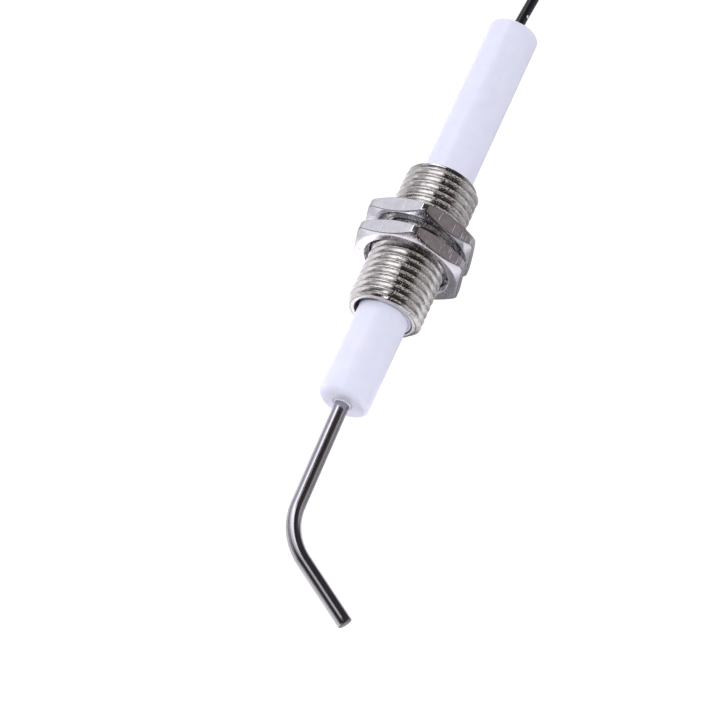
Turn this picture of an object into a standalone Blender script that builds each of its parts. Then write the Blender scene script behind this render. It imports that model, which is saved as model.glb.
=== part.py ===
"""Ignition electrode: a bent metal rod in a ceramic tube, held by a threaded sleeve with two lock nuts.

The sleeve's axis lies along Y. +Y points from the spark tip towards the lead, +X is the side that the
tip bends to, and +Z is square to the bend. The origin is on the axis at the sleeve's rear end.
"""

import math

import bmesh
import bpy
from mathutils import Matrix, Vector

MM = 0.001
GAP = 0.05 * MM  # clearance between neighbouring pieces
WELD_DISTANCE = 0.0001 * MM
TURNED_STEPS = 40
THIN_TURNED_STEPS = 24

# Ceramic tube
CERAMIC_RADIUS = 4.05 * MM
CERAMIC_FRONT = -41.3 * MM
CERAMIC_REAR = 30.2 * MM
CERAMIC_FRONT_ROUNDING = 1.0 * MM
CERAMIC_REAR_ROUNDING = 0.7 * MM
ROD_BORE_RADIUS = 1.5 * MM
LEAD_BORE_RADIUS = 2.1 * MM
LEAD_BORE_START = 0.0

# Threaded sleeve, M12 x 1.25
SLEEVE_LENGTH = 25.2 * MM
SLEEVE_BORE_RADIUS = 4.55 * MM
THREAD_RADIUS = 6.0 * MM
THREAD_ROOT_RADIUS = 5.3 * MM
THREAD_PITCH = 1.25 * MM
THREAD_ROOT_HALF_WIDTH = 0.11 * MM
THREAD_HALF_ANGLE = math.radians(30)
THREAD_STEPS = 28
END_RING_RADIUS = 5.5 * MM
END_CHAMFER = 0.5 * MM
BORE_CHAMFER = 0.15 * MM

# Lock nuts, 17 mm across flats
NUT_ACROSS_FLATS = 17.0 * MM
NUT_THICKNESS = 2.8 * MM
NUT_BORE_RADIUS = THREAD_RADIUS + GAP
NUT_COUNTERSINK = 0.9 * MM
NUT_CORNER_RADIUS = 9.6 * MM  # the six corners are turned down to this
NUT_FACE_RADIUS = 8.2 * MM
NUT_CHAMFER_ANGLE = math.radians(28)
NUT_STEPS = 60
FRONT_NUT_Y = -15.85 * MM
REAR_NUT_Y = -11.65 * MM
FRONT_NUT_CLOCKING = math.radians(7.0)  # how far a corner is turned from the top, +Z, towards -X
REAR_NUT_CLOCKING = math.radians(7.5)

# Electrode rod
ROD_RADIUS = 1.15 * MM
ROD_TAIL_Y = 8.0 * MM
ROD_LEAN = math.radians(1.1)
ROD_LEG_BEFORE_BEND = 22.8 * MM
ROD_LEG_AFTER_BEND = 16.1 * MM
ROD_BEND_ANGLE = math.radians(55)
ROD_BEND_RADIUS = 9.5 * MM
ROD_BEND_STEPS = 10
ROD_RESOLUTION = 8

# Cements
ROD_CEMENT_LENGTH = 6.0 * MM
ROD_CEMENT_RECESS = 0.1 * MM
SLEEVE_CEMENT_FRONT = -24.8 * MM
SLEEVE_CEMENT_REAR = -0.4 * MM
LEAD_CEMENT_LENGTH = 6.0 * MM
LEAD_CEMENT_RECESS = 0.8 * MM

# Splice between rod and lead
FERRULE_START = 3.0 * MM
FERRULE_STEP = 8.2 * MM
FERRULE_END = 15.0 * MM
FERRULE_RADIUS = 1.75 * MM

# Lead
CONDUCTOR_RADIUS = 0.4 * MM
CONDUCTOR_BORE_RADIUS = CONDUCTOR_RADIUS + GAP
INSULATION_RADIUS = 0.85 * MM
INSULATION_START = 15.3 * MM
LEAD_LEAN = math.radians(2.5)
LEAD_STIFFNESS = 0.4  # how far each end keeps its own direction, as a part of the span
LEAD_CURVE_STEPS = 22
LEAD_RESOLUTION = 4
CONDUCTOR_RESOLUTION = 2

# Terminal
TERMINAL_HEADING = math.radians(30)
TERMINAL_LENGTH = 15.0 * MM
TERMINAL_COLUMNS = 28
TERMINAL_END_FROM_BOX = Vector((2.4, -1.4, 0.0)) * MM  # the corner of the overall box to the terminal's end
BARREL_LENGTH = 5.2 * MM
WAIST_START = 6.6 * MM
WAIST_END = 7.6 * MM
RECEPTACLE_START = 8.8 * MM
TERMINAL_FLOOR_Z = -1.1 * MM
SHEET_THICKNESS = 0.35 * MM
INSULATION_TO_TERMINAL = 0.6 * MM
CONDUCTOR_IN_BARREL = 4.6 * MM

# Soft sleeve over the terminal's crimp
CRIMP_SLEEVE_RADIUS = 2.4 * MM
CRIMP_SLEEVE_WALL = 0.5 * MM
CRIMP_SLEEVE_LENGTH = 9.5 * MM
CRIMP_SLEEVE_OVERLAP = 3.2 * MM  # how far it reaches back over the lead
CRIMP_SLEEVE_COLLAR = 1.2 * MM
CRIMP_SLEEVE_COLLAR_WALL = 0.6 * MM
CRIMP_SLEEVE_SHOULDER = 0.6 * MM


def clear_scene():
    for item in list(bpy.data.objects):
        bpy.data.objects.remove(item, do_unlink=True)


def new_collection(name):
    collection = bpy.data.collections.new(name)
    bpy.context.scene.collection.children.link(collection)
    return collection


def material(name, colour, roughness, metallic):
    made = bpy.data.materials.new(name)
    made.use_nodes = True
    shader = made.node_tree.nodes["Principled BSDF"]
    shader.inputs["Base Color"].default_value = (*colour, 1.0)
    shader.inputs["Roughness"].default_value = roughness
    shader.inputs["Metallic"].default_value = metallic
    return made


def add_object(name, data, collection, finish=None):
    made = bpy.data.objects.new(name, data)
    collection.objects.link(made)
    if finish:
        data.materials.append(finish)
    return made


def along_axis(made, y=0.0, clocking=0.0):
    """Lays an object modelled along local Z on the world's Y axis, turned about it from +Z towards -X."""
    made.rotation_euler = (-math.pi / 2, -clocking, 0.0)
    made.location = (0.0, y, 0.0)


def profile_mesh(name, points):
    """A closed loop of edges through (radius, height) points, in the XZ plane."""
    mesh = bpy.data.meshes.new(name)
    count = len(points)
    edges = [(i, (i + 1) % count) for i in range(count)]
    mesh.from_pydata([(radius, 0.0, height) for radius, height in points], edges, [])
    return mesh


def add_screw(made, steps, turns=1, pitch=0.0):
    screw = made.modifiers.new("Screw", "SCREW")
    screw.axis = "Z"
    screw.steps = steps
    screw.render_steps = steps
    screw.iterations = turns
    screw.screw_offset = pitch
    screw.use_merge_vertices = pitch == 0.0
    screw.merge_threshold = WELD_DISTANCE
    screw.use_smooth_shade = True


def turned(name, points, collection, finish=None, steps=TURNED_STEPS):
    """A ring turned about Z from a closed profile that runs down its outer side."""
    made = add_object(name, profile_mesh(name, points), collection, finish)
    add_screw(made, steps)
    return made


def evaluated_copy(made, name, collection, finish=None):
    """The object's evaluated mesh as a new object at the same place. The first object is removed."""
    bpy.context.view_layer.update()
    graph = bpy.context.evaluated_depsgraph_get()
    mesh = bpy.data.meshes.new_from_object(made.evaluated_get(graph))
    mesh.materials.clear()
    copy = add_object(name, mesh, collection, finish)
    copy.matrix_world = made.matrix_world.copy()
    bpy.data.objects.remove(made, do_unlink=True)
    return copy


def cut(made, other, operation="DIFFERENCE"):
    modifier = made.modifiers.new(operation.title(), "BOOLEAN")
    modifier.operation = operation
    modifier.solver = "EXACT"
    modifier.object = other
    other.hide_render = True
    other.display_type = "WIRE"


def quarter_round(centre, radius, start_degrees, end_degrees, steps=5):
    """Points along an arc about (radius, height) centre, both ends included."""
    points = []
    for i in range(steps + 1):
        angle = math.radians(start_degrees + (end_degrees - start_degrees) * i / steps)
        points.append((centre[0] + radius * math.cos(angle), centre[1] + radius * math.sin(angle)))
    return points


def ring_profile(inner, outer, low, high):
    return [(outer, high), (outer, low), (inner, low), (inner, high)]


def make_ceramic(collection, finish):
    rear = quarter_round(
        (CERAMIC_RADIUS - CERAMIC_REAR_ROUNDING, CERAMIC_REAR - CERAMIC_REAR_ROUNDING),
        CERAMIC_REAR_ROUNDING, 90, 0,
    )
    front = quarter_round(
        (CERAMIC_RADIUS - CERAMIC_FRONT_ROUNDING, CERAMIC_FRONT + CERAMIC_FRONT_ROUNDING),
        CERAMIC_FRONT_ROUNDING, 0, -90,
    )
    bore = [
        (ROD_BORE_RADIUS, CERAMIC_FRONT),
        (ROD_BORE_RADIUS, LEAD_BORE_START),
        (LEAD_BORE_RADIUS, LEAD_BORE_START),
        (LEAD_BORE_RADIUS, CERAMIC_REAR),
    ]
    ceramic = turned("ceramic_insulator", rear + front + bore, collection, finish)
    along_axis(ceramic)


def make_sleeve(collection, cutters, finish):
    """A turned blank with a bevelled ring at each end, and one helical groove cut into it."""
    low, high = -SLEEVE_LENGTH, 0.0
    blank = turned(
        "threaded_sleeve",
        [
            (END_RING_RADIUS, high),
            (THREAD_RADIUS, high - END_CHAMFER),
            (THREAD_RADIUS, low + END_CHAMFER),
            (END_RING_RADIUS, low),
            (SLEEVE_BORE_RADIUS + BORE_CHAMFER, low),
            (SLEEVE_BORE_RADIUS, low + BORE_CHAMFER),
            (SLEEVE_BORE_RADIUS, high - BORE_CHAMFER),
            (SLEEVE_BORE_RADIUS + BORE_CHAMFER, high),
        ],
        collection, finish, THREAD_STEPS,
    )
    along_axis(blank)
    cut(blank, make_thread_cutter(cutters))


def make_thread_cutter(cutters):
    """The groove between the threads as a closed helical bar that overruns the sleeve at both ends."""
    outer = THREAD_RADIUS + 2 * GAP
    flank = (outer - THREAD_ROOT_RADIUS) * math.tan(THREAD_HALF_ANGLE)
    outer_half_width = THREAD_ROOT_HALF_WIDTH + flank
    start = -SLEEVE_LENGTH - THREAD_PITCH
    turns = math.ceil(SLEEVE_LENGTH / THREAD_PITCH) + 1
    section = [
        (outer, start + outer_half_width),
        (outer, start - outer_half_width),
        (THREAD_ROOT_RADIUS, start - THREAD_ROOT_HALF_WIDTH),
        (THREAD_ROOT_RADIUS, start + THREAD_ROOT_HALF_WIDTH),
    ]
    bar = add_object("thread_cutter_sweep", profile_mesh("thread_cutter_sweep", section), cutters)
    add_screw(bar, THREAD_STEPS, turns, THREAD_PITCH)
    cutter = evaluated_copy(bar, "thread_cutter", cutters)
    shape = bmesh.new()
    shape.from_mesh(cutter.data)
    bmesh.ops.remove_doubles(shape, verts=shape.verts, dist=WELD_DISTANCE)
    open_edges = [edge for edge in shape.edges if edge.is_boundary]
    bmesh.ops.holes_fill(shape, edges=open_edges, sides=0)
    bmesh.ops.recalc_face_normals(shape, faces=shape.faces)
    shape.to_mesh(cutter.data)
    shape.free()
    half_a_facet = math.pi / THREAD_STEPS
    along_axis(cutter, 0.0, half_a_facet)
    return cutter


def make_nut(name, y, clocking, collection, cutters, finish):
    """A thin hexagon nut: a six-sided prism, its corners turned down and bevelled on both faces."""
    mesh = bpy.data.meshes.new(name)
    shape = bmesh.new()
    sharp_radius = NUT_ACROSS_FLATS / 2 / math.cos(math.radians(30))
    bmesh.ops.create_cone(
        shape, cap_ends=True, segments=6,
        radius1=sharp_radius, radius2=sharp_radius, depth=NUT_THICKNESS,
        matrix=Matrix.Translation((0.0, 0.0, NUT_THICKNESS / 2)),
    )
    shape.to_mesh(mesh)
    shape.free()
    nut = add_object(name, mesh, collection, finish)
    along_axis(nut, y, clocking)

    drop = (NUT_CORNER_RADIUS - NUT_FACE_RADIUS) * math.tan(NUT_CHAMFER_ANGLE)
    envelope = turned(
        name + "_envelope",
        [
            (NUT_FACE_RADIUS, NUT_THICKNESS),
            (NUT_CORNER_RADIUS, NUT_THICKNESS - drop),
            (NUT_CORNER_RADIUS, drop),
            (NUT_FACE_RADIUS, 0.0),
            (NUT_BORE_RADIUS + NUT_COUNTERSINK, 0.0),
            (NUT_BORE_RADIUS, NUT_COUNTERSINK),
            (NUT_BORE_RADIUS, NUT_THICKNESS - NUT_COUNTERSINK),
            (NUT_BORE_RADIUS + NUT_COUNTERSINK, NUT_THICKNESS),
        ],
        cutters, None, NUT_STEPS,
    )
    along_axis(envelope, y)
    cut(nut, envelope, "INTERSECT")


def rod_heading(angle):
    """The direction that leans by an angle from the axis towards the side of the bend."""
    return Vector((math.sin(angle), -math.cos(angle), 0.0))


def spark_tip():
    bend_vertex = Vector((0.0, CERAMIC_FRONT, 0.0)) + ROD_LEG_BEFORE_BEND * rod_heading(ROD_LEAN)
    return bend_vertex + ROD_LEG_AFTER_BEND * rod_heading(ROD_LEAN + ROD_BEND_ANGLE)


def rod_path():
    """Points along the rod's centre line, from its tail inside the ceramic to the spark tip."""
    mouth = Vector((0.0, CERAMIC_FRONT, 0.0))
    tangent = ROD_BEND_RADIUS * math.tan(ROD_BEND_ANGLE / 2)
    bend_start = mouth + (ROD_LEG_BEFORE_BEND - tangent) * rod_heading(ROD_LEAN)
    centre = bend_start + ROD_BEND_RADIUS * Vector((math.cos(ROD_LEAN), math.sin(ROD_LEAN), 0.0))
    points = [Vector((0.0, ROD_TAIL_Y, 0.0)), mouth]
    for i in range(ROD_BEND_STEPS + 1):
        angle = ROD_LEAN + ROD_BEND_ANGLE * i / ROD_BEND_STEPS
        points.append(centre - ROD_BEND_RADIUS * Vector((math.cos(angle), math.sin(angle), 0.0)))
    points.append(spark_tip())
    return points


def terminal_heading():
    return Vector((-math.sin(TERMINAL_HEADING), math.cos(TERMINAL_HEADING), 0.0))


def terminal_start():
    """Where the terminal's crimp begins. Its far end mirrors the spark tip, which centres the overall box."""
    angle = ROD_LEAN + ROD_BEND_ANGLE
    tip_edge = spark_tip() + ROD_RADIUS * Vector((math.cos(angle), -math.sin(angle), 0.0))
    end = TERMINAL_END_FROM_BOX - tip_edge
    return end - TERMINAL_LENGTH * terminal_heading()


def lead_path(start_y, past_terminal_start):
    """Points along the lead, from start_y on the axis to a distance past the terminal's rear end."""
    start = Vector((0.0, start_y, 0.0))
    mouth = Vector((0.0, CERAMIC_REAR, 0.0))
    heading = terminal_heading()
    straight_from = terminal_start() - CRIMP_SLEEVE_OVERLAP * heading
    reach = (straight_from - mouth).length * LEAD_STIFFNESS
    lean = Vector((math.sin(LEAD_LEAN), math.cos(LEAD_LEAN), 0.0))
    pull_out = mouth + reach * lean
    pull_in = straight_from - reach * heading
    points = [start]
    for i in range(LEAD_CURVE_STEPS + 1):
        t = i / LEAD_CURVE_STEPS
        s = 1.0 - t
        points.append(
            s * s * s * mouth + 3 * s * s * t * pull_out + 3 * s * t * t * pull_in + t * t * t * straight_from
        )
    points.append(terminal_start() + past_terminal_start * heading)
    return points


def wire(name, points, radius, resolution, collection, finish, filled=True):
    """A round bar along a path. Without filled ends it is only a skin."""
    curve = bpy.data.curves.new(name, "CURVE")
    curve.dimensions = "3D"
    curve.bevel_depth = radius
    curve.bevel_resolution = resolution
    curve.use_fill_caps = filled
    spline = curve.splines.new("POLY")
    spline.points.add(len(points) - 1)
    for place, point in zip(spline.points, points):
        place.co = (*point, 1.0)
    return add_object(name, curve, collection, finish)


def make_insulation(collection, finish):
    """The lead's soft covering: an open skin along the lead, thickened inwards round the conductor."""
    path = lead_path(INSULATION_START, -INSULATION_TO_TERMINAL)
    skin = wire("insulation_skin", path, INSULATION_RADIUS, LEAD_RESOLUTION, collection, finish, False)
    insulation = evaluated_copy(skin, "lead_insulation", collection, finish)
    wall = insulation.modifiers.new("Wall", "SOLIDIFY")
    wall.thickness = INSULATION_RADIUS - CONDUCTOR_BORE_RADIUS
    wall.offset = -1.0


def folded_section(flat_half_width, curl_radius, curl_angle):
    """(across, up) points over a strip whose two sides curl up and inwards from a flat middle."""
    half_length = flat_half_width + curl_radius * curl_angle
    points = []
    for i in range(TERMINAL_COLUMNS + 1):
        run = half_length * (2 * i / TERMINAL_COLUMNS - 1)
        side = math.copysign(1.0, run)
        beyond = max(abs(run) - flat_half_width, 0.0)
        turn = beyond / curl_radius
        across = min(abs(run), flat_half_width) + curl_radius * math.sin(turn)
        points.append((side * across, curl_radius * (1.0 - math.cos(turn))))
    return points


def make_terminal(collection, finish):
    """A push-on terminal folded from one strip: crimp barrel, waist and the receptacle with curled sides."""
    # flat half-width, radius of the curl and angle of the curl at each kind of section
    barrel = (0.15 * MM, 1.2 * MM, math.radians(158))
    waist = (0.9 * MM, 0.8 * MM, math.radians(75))
    receptacle = (1.75 * MM, 0.85 * MM, math.radians(215))
    stations = [
        (0.0, barrel), (BARREL_LENGTH, barrel), (WAIST_START, waist),
        (WAIST_END, waist), (RECEPTACLE_START, receptacle), (TERMINAL_LENGTH, receptacle),
    ]
    mesh = bpy.data.meshes.new("terminal")
    shape = bmesh.new()
    rows = []
    for distance, (flat, radius, angle) in stations:
        section = folded_section(flat, radius, angle)
        rows.append([shape.verts.new((across, distance, TERMINAL_FLOOR_Z + up)) for across, up in section])
    for first, second in zip(rows, rows[1:]):
        for i in range(TERMINAL_COLUMNS):
            shape.faces.new((first[i], first[i + 1], second[i + 1], second[i]))
    bmesh.ops.recalc_face_normals(shape, faces=shape.faces)
    shape.to_mesh(mesh)
    shape.free()
    mesh.shade_smooth()
    terminal = add_object("terminal", mesh, collection, finish)
    sheet = terminal.modifiers.new("Sheet", "SOLIDIFY")
    sheet.thickness = SHEET_THICKNESS
    sheet.offset = 0.0
    terminal.location = terminal_start()
    terminal.rotation_euler = (0.0, 0.0, TERMINAL_HEADING)


def make_crimp_sleeve(collection, finish):
    """A soft sleeve over the crimp, with a collar that closes on the lead."""
    inner = CRIMP_SLEEVE_RADIUS - CRIMP_SLEEVE_WALL
    lead_hole = INSULATION_RADIUS + GAP
    shoulder_end = CRIMP_SLEEVE_COLLAR + CRIMP_SLEEVE_SHOULDER
    profile = [
        (CRIMP_SLEEVE_RADIUS, CRIMP_SLEEVE_LENGTH),
        (CRIMP_SLEEVE_RADIUS, shoulder_end),
        (CRIMP_SLEEVE_RADIUS - CRIMP_SLEEVE_SHOULDER, CRIMP_SLEEVE_COLLAR),
        (INSULATION_RADIUS + CRIMP_SLEEVE_COLLAR_WALL, 0.0),
        (lead_hole, 0.0),
        (lead_hole, CRIMP_SLEEVE_COLLAR),
        (inner, shoulder_end),
        (inner, CRIMP_SLEEVE_LENGTH),
    ]
    sleeve = turned("crimp_sleeve", profile, collection, finish, THIN_TURNED_STEPS)
    sleeve.location = terminal_start() - CRIMP_SLEEVE_OVERLAP * terminal_heading()
    sleeve.rotation_mode = "QUATERNION"
    sleeve.rotation_quaternion = Vector((0.0, 0.0, 1.0)).rotation_difference(terminal_heading())


def make_cements(collection, finish):
    rod_cement_front = CERAMIC_FRONT + ROD_CEMENT_RECESS
    lead_cement_rear = CERAMIC_REAR - LEAD_CEMENT_RECESS
    rings = {
        "rod_cement": ring_profile(
            ROD_RADIUS + GAP, ROD_BORE_RADIUS - GAP,
            rod_cement_front, rod_cement_front + ROD_CEMENT_LENGTH,
        ),
        "lead_cement": ring_profile(
            INSULATION_RADIUS + GAP, LEAD_BORE_RADIUS - GAP,
            lead_cement_rear - LEAD_CEMENT_LENGTH, lead_cement_rear,
        ),
        "sleeve_cement": ring_profile(
            CERAMIC_RADIUS + GAP, SLEEVE_BORE_RADIUS - GAP,
            SLEEVE_CEMENT_FRONT, SLEEVE_CEMENT_REAR,
        ),
    }
    for name, profile in rings.items():
        along_axis(turned(name, profile, collection, finish))


def make_ferrule(collection, finish):
    """A crimp ferrule with a wide socket for the rod's tail and a narrow one for the conductor."""
    ferrule = turned(
        "splice_ferrule",
        [
            (FERRULE_RADIUS, FERRULE_END),
            (FERRULE_RADIUS, FERRULE_START),
            (ROD_RADIUS + GAP, FERRULE_START),
            (ROD_RADIUS + GAP, FERRULE_STEP),
            (CONDUCTOR_BORE_RADIUS, FERRULE_STEP),
            (CONDUCTOR_BORE_RADIUS, FERRULE_END),
        ],
        collection, finish, THIN_TURNED_STEPS,
    )
    along_axis(ferrule)


def main():
    clear_scene()
    parts = new_collection("ignition_electrode")
    cutters = new_collection("cutters")

    nickel = material("nickel_plate", (0.62, 0.60, 0.57), 0.25, 1.0)
    steel = material("rod_steel", (0.42, 0.41, 0.40), 0.35, 1.0)
    ceramic = material("glazed_ceramic", (0.86, 0.86, 0.90), 0.18, 0.0)
    cement = material("cement", (0.72, 0.69, 0.63), 0.9, 0.0)
    silicone = material("black_silicone", (0.02, 0.02, 0.022), 0.45, 0.0)
    copper = material("tinned_copper", (0.70, 0.62, 0.55), 0.35, 1.0)
    tin = material("tinned_brass", (0.70, 0.68, 0.62), 0.3, 1.0)

    make_ceramic(parts, ceramic)
    make_sleeve(parts, cutters, nickel)
    make_nut("front_lock_nut", FRONT_NUT_Y, FRONT_NUT_CLOCKING, parts, cutters, nickel)
    make_nut("rear_lock_nut", REAR_NUT_Y, REAR_NUT_CLOCKING, parts, cutters, nickel)
    wire("electrode_rod", rod_path(), ROD_RADIUS, ROD_RESOLUTION, parts, steel)
    make_cements(parts, cement)
    make_ferrule(parts, tin)
    conductor = lead_path(FERRULE_STEP + GAP, CONDUCTOR_IN_BARREL)
    wire("lead_conductor", conductor, CONDUCTOR_RADIUS, CONDUCTOR_RESOLUTION, parts, copper)
    make_insulation(parts, silicone)
    make_terminal(parts, tin)
    make_crimp_sleeve(parts, silicone)


main()
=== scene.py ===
"""Looks of the ignition electrode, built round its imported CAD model.

Lengths are in metres. The sleeve's axis lies along Y, and +Y points from the spark tip towards the lead.
+X is the side that the tip bends to, and +Z is up.
"""

import cmath
import math

import bmesh
import bpy
from mathutils import Matrix, Vector, noise


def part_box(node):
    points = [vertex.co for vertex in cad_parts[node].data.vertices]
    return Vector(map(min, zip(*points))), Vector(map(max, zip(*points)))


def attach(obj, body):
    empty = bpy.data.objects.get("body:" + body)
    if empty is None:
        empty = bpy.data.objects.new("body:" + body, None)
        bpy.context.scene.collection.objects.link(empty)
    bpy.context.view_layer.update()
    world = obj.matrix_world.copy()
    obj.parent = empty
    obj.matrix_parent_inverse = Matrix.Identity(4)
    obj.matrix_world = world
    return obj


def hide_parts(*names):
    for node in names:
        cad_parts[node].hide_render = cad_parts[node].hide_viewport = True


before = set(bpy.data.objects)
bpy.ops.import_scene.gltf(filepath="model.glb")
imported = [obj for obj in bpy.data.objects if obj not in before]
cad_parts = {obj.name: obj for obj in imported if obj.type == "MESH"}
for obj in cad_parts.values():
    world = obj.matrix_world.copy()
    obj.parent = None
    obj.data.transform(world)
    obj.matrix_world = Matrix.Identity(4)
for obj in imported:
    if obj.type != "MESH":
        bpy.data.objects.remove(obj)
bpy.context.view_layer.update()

MM = 0.001
ASSEMBLY = "electrode_assembly"
ALONG_Y = Matrix.Rotation(-math.pi / 2, 4, "X")  # takes local Z to the frame's +Y
UP = Vector((0.0, 0.0, 1.0))
FILLET_STEPS = 4

# Ceramic tube
CERAMIC_FRONT_ROUNDING = 1.0 * MM
CERAMIC_FRONT_UNEVENNESS = 0.3 * MM
CERAMIC_REAR_ROUNDING = 0.28 * MM
ROD_BORE = 1.5 * MM
LEAD_BORE = 2.1 * MM

# Threaded sleeve and the cement under it
THREAD_PITCH = 1.25 * MM
THREAD_ROOT = 5.3 * MM
THREAD_HALF_ANGLE = math.radians(30)
THREAD_ROOT_HALF_WIDTH = 0.11 * MM
THREAD_ROOT_ROUNDING = 0.14 * MM
THREAD_CREST_ROUNDING = 0.18 * MM
END_RING = 5.5 * MM
SLEEVE_BORE = 4.55 * MM
SLEEVE_BORE_CHAMFER = 0.15 * MM
SLEEVE_COLUMNS = 216
CERAMIC_RADIUS = 4.05 * MM
SLEEVE_VOID_ANGLE = math.radians(195)
SLEEVE_VOID_HALF_WIDTH = math.radians(50)
SLEEVE_VOID_DEPTH = 3.0 * MM
THREAD_WEAR_DEPTH = 0.02 * MM
THREAD_DENT_DEPTH = 0.12 * MM
THREAD_WAVER = 0.014 * MM

# Lock nuts
NUT_FLAT_RADIUS = 8.5 * MM
NUT_FACE_RADIUS = 8.2 * MM
NUT_CHAMFER_ANGLE = math.radians(28)
NUT_COUNTERSINK = 0.9 * MM
NUT_CORNER_SOFTNESS = 0.03 * MM
NUT_CORNER_SHORTFALL = 0.01 * MM  # keeps the corners inside the CAD nut

# Electrode rod
ROD_RADIUS = 1.15 * MM
ROD_LEAN = math.radians(1.1)
ROD_LEG_BEFORE_BEND = 22.8 * MM
ROD_LEG_AFTER_BEND = 16.1 * MM
ROD_BEND_ANGLE = math.radians(55)
ROD_BEND_RADIUS = 9.5 * MM

WHITE_FLECK = (0.78, 3.75, 0.50)  # millimetres from the middle of the ceramic's rear end

# Radii in millimetres on the nickel where a band starts, is full, starts to fade and is gone
WORN_CREST_RADII = (5.78, 5.84, 6.0, 6.1)
# painted shade in the thread's roots
ROOT_SHADE_RADII = (5.20, 5.28, 5.36, 5.44)
BORE_SHADE_RADII = (4.72, 4.80)  # painted shade, dark all the way into the bore, so only where it starts to fade and is gone

# Studio
FLOOR_HEIGHT = -9.8 * MM
TABLE_SHADE_START = 0.25
TABLE_SHADE_HALF_WIDTH = 0.030
FRONT_SHADE_X = 0.03

# Lead
CONDUCTOR_RADIUS = 0.4 * MM
INSULATION_RADIUS = 0.85 * MM
INSULATION_WALL = 0.4 * MM
LEAD_LEAN = math.radians(2.5)
LEAD_STIFFNESS = 0.4
TERMINAL_HEADING = math.radians(30)
TERMINAL_LENGTH = 15.0 * MM
TERMINAL_END_FROM_BOX = Vector((2.4, -1.4, 0.0)) * MM
CRIMP_SLEEVE_LENGTH = 9.5 * MM
CRIMP_SLEEVE_OVERLAP = 3.2 * MM

# Splice
FERRULE_STEP = 8.2 * MM


# ---------------------------------------------------------------- mesh tools


def add_piece(name, shape, material, body, node):
    """Makes an object from a bmesh, shades it smooth and puts it on a body in place of its CAD node."""
    bmesh.ops.recalc_face_normals(shape, faces=shape.faces)
    mesh = bpy.data.meshes.new(name)
    shape.to_mesh(mesh)
    shape.free()
    mesh.shade_smooth()
    mesh.materials.append(material)
    piece = bpy.data.objects.new(name, mesh)
    bpy.context.scene.collection.objects.link(piece)
    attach(piece, body)
    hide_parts(node)
    return piece


def weigh_normals(piece):
    """Keeps large faces flat beside their small rounded edges."""
    modifier = piece.modifiers.new("Normals", "WEIGHTED_NORMAL")
    modifier.weight = 100


def rounded_corner(before, corner, after, radius, steps=FILLET_STEPS):
    """Points along the arc that rounds one corner of a flat outline."""
    before, corner, after = Vector(before), Vector(corner), Vector(after)
    back, ahead = (before - corner).normalized(), (after - corner).normalized()
    angle = back.angle(ahead)
    if radius <= 0.0 or angle > math.pi - 1e-3:
        return [corner]
    shorter_side = min((before - corner).length, (after - corner).length)
    tangent = min(radius / math.tan(angle / 2), 0.49 * shorter_side)
    radius = tangent * math.tan(angle / 2)
    centre = corner + (back + ahead).normalized() * (radius / math.sin(angle / 2))
    start, end = corner + back * tangent - centre, corner + ahead * tangent - centre
    return [centre + radius * start.slerp(end, i / steps) for i in range(steps + 1)]


def rounded_outline(corners, steps=FILLET_STEPS):
    """A closed outline from (x, y, corner radius) entries."""
    points = []
    for i, (x, y, radius) in enumerate(corners):
        before = corners[i - 1][:2]
        after = corners[(i + 1) % len(corners)][:2]
        points += rounded_corner(before, (x, y), after, radius, steps)
    return points


def add_grid(shape, rows, wrap_rows, wrap_columns, scale=None):
    """Quads through rows of points. With a scale, the UV map counts round the rows and along the columns."""
    uv = shape.loops.layers.uv.verify()
    grid = [[shape.verts.new(point) for point in row] for row in rows]
    row_count, column_count = len(grid), len(grid[0])
    for i in range(row_count if wrap_rows else row_count - 1):
        for j in range(column_count if wrap_columns else column_count - 1):
            corners = [(i, j), (i + 1, j), (i + 1, j + 1), (i, j + 1)]
            face = shape.faces.new([grid[a % row_count][b % column_count] for a, b in corners])
            for loop, (a, b) in zip(face.loops, corners):
                loop[uv].uv = (b / column_count, a / row_count if scale is None else scale[a])
    return grid


def lathe(name, outline, steps, material, node, place=ALONG_Y):
    """A closed (radius, height) outline turned about local Z.

    The outline may be a function of the angle from local X.
    """
    shape = bmesh.new()
    rows = []
    for i in range(steps):
        angle = 2 * math.pi * i / steps
        across, up = math.cos(angle), math.sin(angle)
        points = outline(angle) if callable(outline) else outline
        rows.append([place @ Vector((r * across, r * up, h)) for r, h in points])
    add_grid(shape, rows, True, True)
    weigh_normals(add_piece(name, shape, material, ASSEMBLY, node))


def ring_points(centre, along, radius, sides):
    """A circle of points round a path that lies in the XY plane."""
    across = along.cross(UP).normalized()
    points = []
    for i in range(sides):
        angle = 2 * math.pi * i / sides
        points.append(centre + radius * (math.cos(angle) * across + math.sin(angle) * UP))
    return points


def with_directions(points):
    """(point, direction, distance from the start) for each point of a path."""
    result = []
    distance = 0.0
    for i, point in enumerate(points):
        before, after = points[max(i - 1, 0)], points[min(i + 1, len(points) - 1)]
        if i:
            distance += (point - points[i - 1]).length
        result.append((point, (after - before).normalized(), distance))
    return result


# ---------------------------------------------------------------- shapes of the pieces


def make_ceramic(material):
    """The turned tube. Its front edge is rounded by hand, a little less on the +X side."""
    low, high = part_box("ceramic_insulator")

    def outline_at(angle):
        return rounded_outline([
            (high.x, high.y, CERAMIC_REAR_ROUNDING),
            (high.x, low.y, CERAMIC_FRONT_ROUNDING - CERAMIC_FRONT_UNEVENNESS * math.cos(angle)),
            (ROD_BORE, low.y, 0.12 * MM),
            (ROD_BORE, 0.0, 0.0),
            (LEAD_BORE, 0.0, 0.0),
            (LEAD_BORE, high.y, 0.25 * MM),
        ], 8)

    lathe("ceramic_body", outline_at, 128, material, "ceramic_insulator")


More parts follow.
